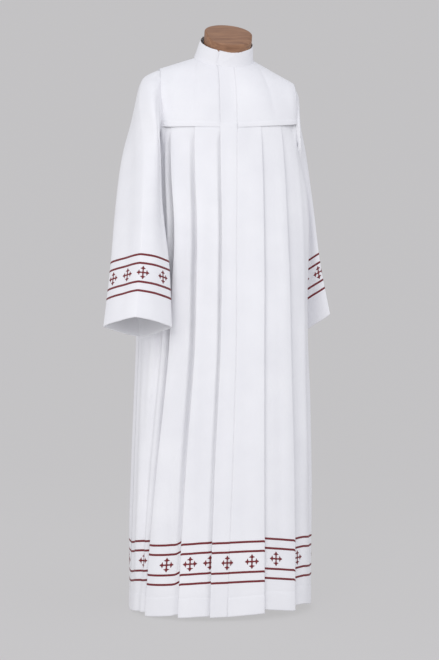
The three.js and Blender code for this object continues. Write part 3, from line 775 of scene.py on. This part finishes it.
def yoke_sheet(node, first, last, behind, out=0, columns=50):
    def bare(u, row):
        across = 1 - u if behind else u
        return on_yoke(mix(first(row), last(row), across), 1 - row, behind, out)

    def relief(u, row):
        across = 1 - u if behind else u
        return yoke_relief(mix(first(row), last(row), across), 1 - row, row * YOKE_TALL)
    lowered = lambda u, row: bare(u, row) - Vector((0, 0, 3 * (1 - smooth(row, 0, 0.05))))
    middle = [bare(u, 0.3) for u in evenly(columns)]
    along = row_lengths(middle)
    sheet = draped_sheet(node + "_cloth", evenly(columns), YOKE_ROWS, lowered,
                         lambda u, row: (along[round(u * columns)], 3000 + row * YOKE_TALL),
                         relief=relief)
    sheet.data.materials.append(alb_cloth)
    cloth_pieces[node] = sheet
    return sheet


def placket_height(row):
    return mix(SEAM_Z, 1450, row)


def placket_seam(z):
    return look_up(FOLDS, z, "placket_seam")


# %% The three yoke panels
yoke_sheet("yoke_front_right", lambda row: -ARMHOLE_EDGE, lambda row: placket_seam(placket_height(row)),
           False, -OVERLAP)
yoke_sheet("yoke_front_left", lambda row: placket_seam(placket_height(row)), lambda row: ARMHOLE_EDGE, False)
yoke_sheet("yoke_back", lambda row: -ARMHOLE_EDGE, lambda row: ARMHOLE_EDGE, True, columns=96)
print("yoke:", [n for n in cloth_pieces if n.startswith("yoke")])

# %% [markdown]
# ## The placket and the stand collar
# The placket is one long strip that lies over the right front and hides the buttons. It is folded from
# two layers, so its free edge is thick and stands a little off. The collar is a band that goes once round
# the neck and overlaps itself at the front.

# %% Placket
PLACKET_TOP = 0.84


def placket_bare(u, row):
    stand_off = 2.5 * smooth(u, 0.35, 0) + 0.3 - 1.0 * smooth(u, 0.8, 1)
    u = u * 1.05
    if row < PLACKET_TOP:
        share = row / PLACKET_TOP
        z = mix(HEM_Z, SEAM_Z, share)
        seam = placket_seam(z) if share < 1 else placket_seam(SEAM_Z)
        angle = mix(eased(FOLDS, z, "placket_edge"), eased(FOLDS, z, "placket_seam"), u)
        height = mix(hem_height(angle) - mix(1.6, 2, u), seam_height(angle), share)
        return on_body(angle, height, stand_off * smooth(share, 1, 0.96) + soft_fold(angle, height)
                       * smooth(share, 1.0, 0.9))
    down = 1 - (row - PLACKET_TOP) / (1 - PLACKET_TOP)
    z = mix(1450, SEAM_Z, down)
    angle = mix(look_up(FOLDS, z, "placket_edge"), placket_seam(z), u)
    point = on_yoke(angle, down, False)
    raise_strip = yoke_relief(angle, down, (1 - down) * YOKE_TALL)
    return point - Vector((0, raise_strip + stand_off * 0.6 * smooth(down, 1, 0.9), 0))


placket_rows = [height / 1272 * PLACKET_TOP for height in HEM_ROWS[:-1]] + [
    PLACKET_TOP + (1 - PLACKET_TOP) * row for row in YOKE_ROWS]
placket_columns = [0, 0.02, 0.05, 0.1, 0.16, 0.24, 0.35, 0.5, 0.65, 0.8, 0.9, 1]
placket = draped_sheet("placket_cloth", placket_columns, placket_rows, placket_bare,
                       lambda u, row: (500 + u * 45, row * 1510), thick=1.4)
placket.data.materials.append(alb_cloth)
cloth_pieces["placket"] = placket

# %% Collar
COLLAR_START, COLLAR_END = -25, 362
COLLAR_REACH = 6.0


def collar_place(u, row):
    angle = mix(COLLAR_START, COLLAR_END, u)
    under = 2.2 * smooth(angle, 325, 335)
    closure = smooth(angle, -22, -14) * (1 - smooth(angle, 4, 16))
    crease = 0.9 * bump(row, 0.12 + 0.022 * (angle + 22), 0.12) * closure
    crease += 0.6 * bump(row, -0.12 + 0.016 * (angle + 22), 0.10) * closure
    crease -= 1.1 * bump(angle, -21, 4) * bump(row, 0.06, 0.2) + 0.4 * bump(angle, 40, 10) * bump(row, 0.5, 0.4)
    foot = on_tilted_ellipse(COLLAR_FOOT, angle, under - crease)
    top = on_tilted_ellipse(COLLAR_TOP, angle, under - crease)
    foot = foot + (foot - top).normalized() * COLLAR_REACH
    spread = 1.2 * smooth(row, 0.25, 0)
    outward = (foot - Vector((COLLAR_FOOT["x"], COLLAR_FOOT["y"], foot.z))).normalized()
    return foot.lerp(top, row) + outward * spread


collar = draped_sheet("collar_cloth", evenly(190), evenly(18), collar_place,
                      lambda u, row: (u * 480, 3000 + row * 45), thick=1.4)
collar.data.materials.append(alb_cloth)
cloth_pieces["collar"] = collar
print("placket and collar made")

# %% [markdown]
# ## The sleeves
# A wide sleeve is a tube. Three curves guide it: the pressed crease on its upper side, the line under the
# arm, and the half width to the front. Its first ring is tucked just inside the armhole, and towards the
# cuff the pressed crease turns the upper half of the section into a roof.

# %% Sleeve curves
SLEEVES = {
    -1: (
        ((-184, -6, 1440), (-230, -26, 1408), (-246, -66, 1334), (-240, -104, 1235), (-247, -154, 1087),
         (-259, -198, 929), (-275, -236, 780)),
        ((-204, 0, 1222), (-218, 4, 1206), (-236, 14, 1176), (-248, 18, 1132), (-256, 2, 1032),
         (-248, -36, 880), (-242, -95, 727)),
        ((0, -58, 0), (4, -62, -4), (14, -60, -4), (38, -42, -6), (52, -24, -4), (68, -18, -2), (86, -18, 0)),
        ((0, 0, 0), (26, -16, 0), (30, -22, 0), (14, -16, 6), (11, -16, 12), (10, -16, 9), (0, 0, 0)),
    ),
    1: (
        ((184, -6, 1416), (204, 0, 1378), (212, 8, 1305), (230, 12, 1222), (253, 16, 1080), (275, 20, 930),
         (306, 25, 789)),
        ((204, 0, 1222), (214, 8, 1206), (224, 26, 1176), (234, 54, 1130), (240, 100, 1024), (234, 148, 880),
         (218, 196, 741)),
        ((0, -58, 0), (-4, -60, -4), (-6, -56, -4), (-10, -48, -6), (-18, -36, -8), (-26, -28, -8),
         (-34, -18, -8)),
        ((0, 0, 0), (-11, 0, 0), (-18, -2, 0), (-17, -4, 0), (-10, -4, 0), (-4, 0, -4), (-4, -4, -32)),
    ),
}


def along_curve(points, share):
    """A smooth curve through the points (Catmull-Rom, like the frame's walls)."""
    points = [Vector(p) for p in points]
    spot = share * (len(points) - 1)
    i = min(int(spot), len(points) - 2)
    t = spot - i
    b, c = points[i], points[i + 1]
    a = points[i - 1] if i > 0 else b * 2 - c
    d = points[i + 2] if i + 2 < len(points) else c * 2 - b
    return (b * 2 + (c - a) * t + (a * 2 - b * 5 + c * 4 - d) * t ** 2 + (b * 3 - a - c * 3 + d) * t ** 3) * 0.5


# Soft folds: (degrees round the sleeve from the crease, start, end, width in degrees, height)
SLEEVE_FOLDS = {
    -1: ((38, 0.30, 1.05, 14, 2.0), (66, 0.1, 0.8, 12, -3.5), (-40, 0.2, 1.05, 12, -2.5), (-72, 0.3, 0.9, 12, 3),
         (120, 0.2, 1.0, 16, -5), (-125, 0.3, 1.05, 16, -5), (160, 0.4, 1.0, 14, 4), (-158, 0.2, 0.8, 12, 4)),
    1: ((40, 0.5, 1.1, 12, -6), (80, 0.25, 0.9, 14, 3.5), (-50, 0.2, 1.0, 14, -3), (-90, 0.3, 1.05, 14, 3),
        (125, 0.2, 1.0, 14, -4), (-130, 0.2, 0.9, 14, -4), (165, 0.3, 1.05, 12, 3)),
}


def sleeve_relief(side, share, angle):
    total = 0
    for at, start, end, width, height in SLEEVE_FOLDS[side]:
        across = (angle - at + 180) % 360 - 180
        along = smooth(share, start - 0.1, start + 0.15) * (1 - smooth(share, end - 0.15, end + 0.1))
        total += height * bump(across, 0, width) * along
    around = (angle + 180) % 360 - 180
    if side < 0:
        total -= 9 * bump(around, 32, 9) * bump(share, 0.075, 0.035)
        total += 4 * bump(around, 52, 14) * bump(share, 0.07, 0.05)
    total -= 3.5 * bump(share, 0.03, 0.02)
    return total


def sleeve_bare(side, share, angle):
    crease, underarm, front, fuller = (along_curve(line, share) for line in SLEEVES[side])
    middle = crease.lerp(underarm, 0.5)
    turn = math.radians(angle)
    pressed = 1.22 if math.cos(turn) > 0 else 1.25
    power = 2 / mix(2, pressed, smooth(share, 0.25, 0.8))
    if math.sin(turn) > 0:
        front = front + fuller
    point = (middle + (crease - middle) * signed_power(math.cos(turn), power)
             + front * signed_power(math.sin(turn), power))
    out = (point - middle).normalized()
    point = point + out * sleeve_relief(side, share, angle)
    start = on_armhole(side, angle)
    over = smooth(start.z, 1322, 1306)
    start = start + (middle - start).normalized() * mix(1.2, -2.5, over) - Vector((side * mix(7, 3, over), 0, 0))
    return start.lerp(point, smooth(share, 0, 0.16))


def sleeve_place(side):
    return lambda u, share: sleeve_bare(side, 1 - share, (u if side < 0 else -u) * 360)


def crease_lengths(side, steps=120):
    return row_lengths([along_curve(SLEEVES[side][0], 1 - share) for share in evenly(steps)])


SLEEVE_TURNS = 168


def sleeve_sheet(node, side):
    place = sleeve_place(side)
    from_cuff = crease_lengths(side)
    long = from_cuff[-1]
    heights = [0, 3, 12, 24, 36, 48, 60, 66] + evenly(24, 72, 186) + evenly(64, 196, long)
    rows = [spot_of(from_cuff, height) / (len(from_cuff) - 1) for height in heights]
    turns = evenly(SLEEVE_TURNS)
    along = row_lengths([place(u, spot_of(from_cuff, 118) / 120) for u in turns])
    far = dict(zip(rows, heights))
    sheet = draped_sheet(node + "_cloth", turns, rows, place,
                         lambda u, row: (along[round(u * SLEEVE_TURNS)], far[row]), wraps=True, thick=1.2)
    sheet.data.materials.append(alb_cloth)
    cloth_pieces[node], cloth_places[node], cloth_rows[node] = sheet, place, along
    print(node, "is", round(long), "mm long and", round(along[-1]), "mm round at the band")


sleeve_sheet("sleeve_right", -1)
sleeve_sheet("sleeve_left", 1)

# %% [markdown]
# ## The embroidery
# Two pairs of narrow stripes and a row of small crosses between them go round the hem and both cuffs in
# dark red satin stitch. Satin stitch is a low rounded ridge of thread, so each stripe is a thin arched
# strip, laid on the cloth by the same function that placed the cloth, and lifted along its normal.

# %% Stripes (millimetres above the edge)
HEM_STRIPES, HEM_CROSSES, HEM_CROSS_SIZE = (84, 108.5, 161.5, 186), 135, 18.6
CUFF_STRIPES, CUFF_CROSSES, CUFF_CROSS_SIZE = (70, 93, 142, 165), 117.5, 17.2
STRIPE_HALF = 2.8
embroidery = {node: [] for node in ("skirt_front_right", "skirt_front_left", "skirt_back", "placket",
                                    "sleeve_right", "sleeve_left")}


def thread_piece(sheet, node):
    sheet.data.materials.append(red_thread)
    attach(sheet, "root")
    embroidery[node].append(sheet)
    return sheet


def arch(across):
    return 0.12 + 0.5 * (1 - across * across)


def stripe(name, node, columns, place_at, height, lay_along, wraps=False):
    """place_at(column, height) gives the cloth's own points."""
    rows = [-1, -0.7, -0.3, 0.3, 0.7, 1]
    lay = lambda column, t: (lay_along(column), 2000 + height + t * STRIPE_HALF)
    place = lambda column, t: place_at(column, height + t * STRIPE_HALF)
    return thread_piece(draped_sheet(name, columns, rows, place, lay, wraps, 0.35, lambda c, t: arch(t)), node)


# %% [markdown]
# A cross is sewn from four arms that end in a bud: two side lobes and a point. One arm is a small grid
# whose rows are widened to that outline. It is turned round the centre three more times and merged.

# %% One embroidered cross, flat, as wide as 2
ARM = ((0.11, 0.11), (0.30, 0.10), (0.46, 0.10), (0.54, 0.20), (0.575, 0.40), (0.615, 0.45), (0.66, 0.36),
       (0.74, 0.19), (0.82, 0.13), (0.91, 0.09), (1.0, 0.02))
ARM_ACROSS = 4


def flat_cross():
    mesh = bmesh.new()
    bmesh.ops.create_grid(mesh, x_segments=ARM_ACROSS, y_segments=ARM_ACROSS, size=ARM[0][0])
    arm = bmesh.ops.create_grid(mesh, x_segments=ARM_ACROSS, y_segments=len(ARM) - 1, size=0.5)["verts"]
    for corner in arm:
        far, half = ARM[round((corner.co.y + 0.5) * (len(ARM) - 1))]
        corner.co = Vector((corner.co.x * 2 * half, far, 0))
    geometry = arm + list({edge for c in arm for edge in c.link_edges}) + list({f for c in arm for f in c.link_faces})
    for turn in (1, 2, 3):
        copy = bmesh.ops.duplicate(mesh, geom=geometry)["geom"]
        corners = [part for part in copy if isinstance(part, bmesh.types.BMVert)]
        bmesh.ops.rotate(mesh, verts=corners, cent=(0, 0, 0), matrix=Matrix.Rotation(math.radians(90 * turn), 3, "Z"))
    bmesh.ops.remove_doubles(mesh, verts=mesh.verts, dist=1e-4)
    bmesh.ops.recalc_face_normals(mesh, faces=mesh.faces)
    data = bpy.data.meshes.new("flat_cross")
    mesh.to_mesh(data)
    mesh.free()
    return data


def crosses(name, node, centres, size, place_at):
    """One piece with a cross at each centre (distance along the cloth, height)."""
    one = flat_cross()
    mesh = bmesh.new()
    uv_layer = mesh.loops.layers.uv.new("UVMap")
    for along, height in centres:
        seen = len(mesh.verts)
        mesh.from_mesh(one)
        mesh.verts.ensure_lookup_table()
        for corner in mesh.verts[seen:]:
            x, y = corner.co.x, corner.co.y
            inside = min(abs(x), abs(y)) if max(abs(x), abs(y)) > 0.12 else 0
            corner.co = place_at(along + x * size, height + y * size, 0.55 - 1.1 * min(inside, 0.4))
    mesh.verts.index_update()
    for face in mesh.faces:
        face.smooth = True
    bmesh.ops.scale(mesh, vec=(MM, MM, MM), verts=mesh.verts)
    for face in mesh.faces:
        for loop in face.loops:
            loop[uv_layer].uv = (loop.vert.co.x + loop.vert.co.y, loop.vert.co.z)
    bpy.data.meshes.remove(one)
    return thread_piece(finished_sheet(name, mesh, 0.35), node)


# %% Embroidery on the hem
# Distances are measured from the point of each panel where an angle is first reached on its outer layer.
HEM_CROSS_ANGLES = {
    "skirt_front_right": (-66, -41.8, -25.2, -13.2),
    "skirt_front_left": (8.3, 24.6, 46, 81),
    "skirt_back": (97, 111, 125, 139, 152.5, 166, 180, 193.5, 207, 221, 235, 247, 258),
}


# How much higher the bands sit on some panels than on others, by the panel's angle
BAND_RISE = {
    "angle": [-90, -78, -64, -60, -35, -30, -14, -4, 15, 17, 39, 42, 60, 75, 90, 235, 262, 270],
    "rise": [-8, -3, -1, 0, -4, 2, 2, 4.5, 0.5, -2, -2, -12, -8, -4, -4, 0, -12, -8],
}


def band_rise(angle):
    angles, rises = BAND_RISE["angle"], BAND_RISE["rise"]
    i = min(max(bisect.bisect_left(angles, angle), 1), len(angles) - 1)
    share = (angle - angles[i - 1]) / (angles[i] - angles[i - 1])
    return mix(rises[i - 1], rises[i], min(max(share, 0), 1))


def outer_column(points, angle):
    """The outermost place of a path at an angle."""
    best, found = -1e9, 0
    for i in range(len(points) - 1):
        (a, out_a, _), (b, out_b, _) = points[i], points[i + 1]
        if min(a, b) <= angle <= max(a, b) and max(out_a, out_b) > best:
            best, found = max(out_a, out_b), i + (angle - a) / ((b - a) or 1)
    return found


def lifted(place_at, along, height, out, step=0.4):
    across = place_at(along + step, height) - place_at(along - step, height)
    up = place_at(along, height + step) - place_at(along, height - step)
    return place_at(along, height) + across.cross(up).normalized() * out


for node, path in PANELS.items():
    place, lengths = cloth_places[node], cloth_rows[node]
    columns = [float(i) for i in range(len(lengths))]
    long = [skirt_length(path, column) for column in columns]

    rises = [band_rise(angle) for angle, _, _ in path(HEM_CROSSES + HEM_Z)]

    def by_column(column, height):
        low = max(0, min(int(column), len(long) - 2))
        height += mix(rises[low], rises[low + 1], column - low)
        return place(column, height / mix(long[low], long[low + 1], column - low))

    def by_distance(along, height):
        return by_column(spot_of(lengths, along), height)

    for number, height in enumerate(HEM_STRIPES):
        stripe(f"{node}_stripe_{number + 1}", node, columns, by_column, height, lambda c: lengths[int(c)])
    points = path(HEM_CROSSES + HEM_Z)
    centres = []
    for angle in HEM_CROSS_ANGLES[node]:
        column = outer_column(points, angle)
        centres.append((mix(lengths[int(column)], lengths[int(column) + 1], column - int(column)), HEM_CROSSES))
    crosses(f"{node}_crosses", node, centres, HEM_CROSS_SIZE,
            lambda along, height, out: lifted(by_distance, along, height, out))
print("hem embroidery:", {node: len(parts) for node, parts in embroidery.items()})


# %% Embroidery on the placket
def placket_at(u, height):
    return placket_bare(u, (height + 4) / 1272 * PLACKET_TOP)


for number, height in enumerate(HEM_STRIPES):
    stripe(f"placket_stripe_{number + 1}", "placket", placket_columns, placket_at, height, lambda u: u * 45)
crosses("placket_crosses", "placket", [(53, HEM_CROSSES)], HEM_CROSS_SIZE,
        lambda along, height, out: lifted(lambda a, h: placket_at(min(a / 62, 1.4), h), along, height,
                                          out + 1.6 * smooth(along, 45, 60)))

# %% Embroidery on the cuffs
CUFF_CROSS_PLACES = {-1: (10, 73, 132, 190, -41, -95, -150), 1: (10, 60, -42, -94)}
CUFF_RISE = {-1: 0, 1: 5}
for node, side in (("sleeve_right", -1), ("sleeve_left", 1)):
    place, lengths, from_cuff = cloth_places[node], cloth_rows[node], crease_lengths(side)
    turns = evenly(SLEEVE_TURNS)

    def by_turn(u, height):
        return place(u, spot_of(from_cuff, height) / (len(from_cuff) - 1))

    def by_distance(along, height):
        return by_turn(spot_of(lengths, along % lengths[-1]) / SLEEVE_TURNS, height)

    for number, height in enumerate(CUFF_STRIPES):
        stripe(f"{node}_stripe_{number + 1}", node, turns, by_turn, height + CUFF_RISE[side],
               lambda u: lengths[round(u * SLEEVE_TURNS)], wraps=True)
    direction = 1 if side < 0 else -1
    crosses(f"{node}_crosses", node, [(direction * s, CUFF_CROSSES + CUFF_RISE[side]) for s in CUFF_CROSS_PLACES[side]],
            CUFF_CROSS_SIZE, lambda along, height, out: lifted(by_distance, along, height, out))
print("embroidery pieces:", sum(len(parts) for parts in embroidery.values()))

# %% [markdown]
# ## The form and its stand
# The torso and the neck block are copies of the frame's own pieces with their edges merged, so that one
# can be smoothed and the other rounded at its rims. The pole and the base are kept as they are.

# %% Copies of the frame's pieces
NECK_STUB_Z = 1.468


def merged_copy(node, name):
    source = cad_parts[node]
    mesh = bmesh.new()
    mesh.from_mesh(source.data)
    mesh.transform(source.matrix_world)
    bmesh.ops.remove_doubles(mesh, verts=mesh.verts, dist=1e-6)
    bmesh.ops.dissolve_limit(mesh, angle_limit=math.radians(2), verts=mesh.verts, edges=mesh.edges)
    bmesh.ops.recalc_face_normals(mesh, faces=mesh.faces)
    for face in mesh.faces:
        face.smooth = True
    data = bpy.data.meshes.new(name)
    mesh.to_mesh(data)
    mesh.free()
    piece = bpy.data.objects.new(name, data)
    scene.collection.objects.link(piece)
    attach(piece, "root")
    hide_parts(node)
    return piece


torso = merged_copy("form_torso", "form_torso_jersey")
for corner in torso.data.vertices:
    if corner.co.z > NECK_STUB_Z:
        corner.co.z = mix(NECK_STUB_Z, corner.co.z, 0.55)
        corner.co.x, corner.co.y = mix(-0.007, corner.co.x, 0.93), mix(-0.02, corner.co.y, 0.93)
torso.data.materials.append(form_jersey)

neck = merged_copy("neck_block", "neck_block_wood")
neck_middle = sum((corner.co for corner in neck.data.vertices), Vector()) / len(neck.data.vertices)
for corner in neck.data.vertices:
    corner.co.x = mix(neck_middle.x, corner.co.x, 1.05)
    corner.co.y = mix(neck_middle.y, corner.co.y, 1.05) - 0.003
    if corner.co.z < neck_middle.z:
        corner.co.z -= 0.012
round_rim = neck.modifiers.new("round_rim", "BEVEL")
round_rim.width, round_rim.segments, round_rim.limit_method = 0.004, 5, "ANGLE"
round_rim.angle_limit = math.radians(35)
neck.data.materials.append(neck_wood)

for name in ("stand_pole", "stand_base"):
    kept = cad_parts[name]
    kept.data.materials.clear()
    kept.data.materials.append(stand_paint)
print("form and stand ready")

# %% [markdown]
# ## Cloth facts
# A table lists, for each sheet, the size of the flat piece that shows and how it is held; finishing a sheet attaches it
# and hides its frame piece.

# %% Finishing the cloth
CUTS = {
    "skirt_front_right": ((0.45, 1.28), "gathered", None),
    "skirt_front_left": ((0.45, 1.28), "gathered", None),
    "skirt_back": ((0.78, 1.28), "gathered", None),
    "yoke_front_right": ((0.22, 0.20), "stretched", None),
    "yoke_front_left": ((0.22, 0.20), "stretched", None),
    "yoke_back": ((0.42, 0.20), "stretched", None),
    "placket": ((0.045, 1.47), "hung", None),
    "collar": ((0.49, 0.047), "stretched", None),
    "sleeve_right": ((0.44, 0.73), "draped", None),
    "sleeve_left": ((0.34, 0.66), "draped", None),
}
for node, (flat, held, area) in CUTS.items():
    finish_cloth(cloth_pieces[node], node)

# %% [markdown]
# ## The room and the light
# A pale floor that sweeps up into the backdrop, a large soft light at the wearer's right front and a
# weaker one at the left keep the folds readable on white cloth.

# %% Stage
ROOM_GLOW = 0.475


def sweep(name, wide, depth, tall, bend, colour):
    """Floor and backdrop in one sheet, with a round bend between them."""
    mesh = bmesh.new()
    bmesh.ops.create_grid(mesh, x_segments=1, y_segments=40, size=0.5)
    flat_run, arc = depth - bend, bend * math.pi / 2
    total = flat_run + arc + tall
    for corner in mesh.verts:
        run = (corner.co.y + 0.5) * total
        if run < flat_run:
            y, z = run, 0
        elif run < flat_run + arc:
            turn = (run - flat_run) / bend
            y, z = flat_run + bend * math.sin(turn), bend * (1 - math.cos(turn))
        else:
            y, z = depth, bend + run - flat_run - arc
        corner.co = Vector((corner.co.x * wide, y, z))
    bmesh.ops.translate(mesh, verts=mesh.verts, vec=(0, 4.0 - depth, -0.0005))
    bmesh.ops.rotate(mesh, verts=mesh.verts, cent=(0, 0, 0), matrix=Matrix.Rotation(-VIEW_TURN, 3, "Z"))
    for face in mesh.faces:
        face.smooth = True
    data = bpy.data.meshes.new(name)
    mesh.to_mesh(data)
    mesh.free()
    backdrop = bpy.data.objects.new(name, data)
    scene.collection.objects.link(backdrop)
    material, _, _, shader = new_material(name + "_grey", colour, 0.95)
    shader.inputs["Emission Color"].default_value = (1, 0.99, 1, 1)
    shader.inputs["Emission Strength"].default_value = ROOM_GLOW
    data.materials.append(material)


sweep("room", 18, 12, 6, 2.5, (0.08, 0.077, 0.08))


def area_light(name, location, target, size, power, colour=(1, 1, 1)):
    data = bpy.data.lights.new(name, "AREA")
    data.energy, data.size, data.color = power, size, colour
    lamp = bpy.data.objects.new(name, data)
    lamp.location = location
    lamp.rotation_euler = (Vector(target) - Vector(location)).to_track_quat("-Z", "Y").to_euler()
    scene.collection.objects.link(lamp)
    return lamp


area_light("key", (-1.9, -3.2, 2.3), (0, 0, 0.9), 1.8, 37, (1, 0.99, 0.97))
area_light("low", (-1.0, -3.4, 0.3), (-0.2, 0, 0.8), 1.4, 19)
area_light("fill", (2.6, -2.2, 1.6), (0, 0, 0.9), 2.2, 10, (0.95, 0.96, 1))
world = bpy.data.worlds.new("room_air")
world.use_nodes = True
world.node_tree.nodes["Background"].inputs["Color"].default_value = (0.93, 0.94, 1, 1)
world.node_tree.nodes["Background"].inputs["Strength"].default_value = 0.77
scene.world = world
scene.view_settings.view_transform = "Standard"
print("lights and room ready")
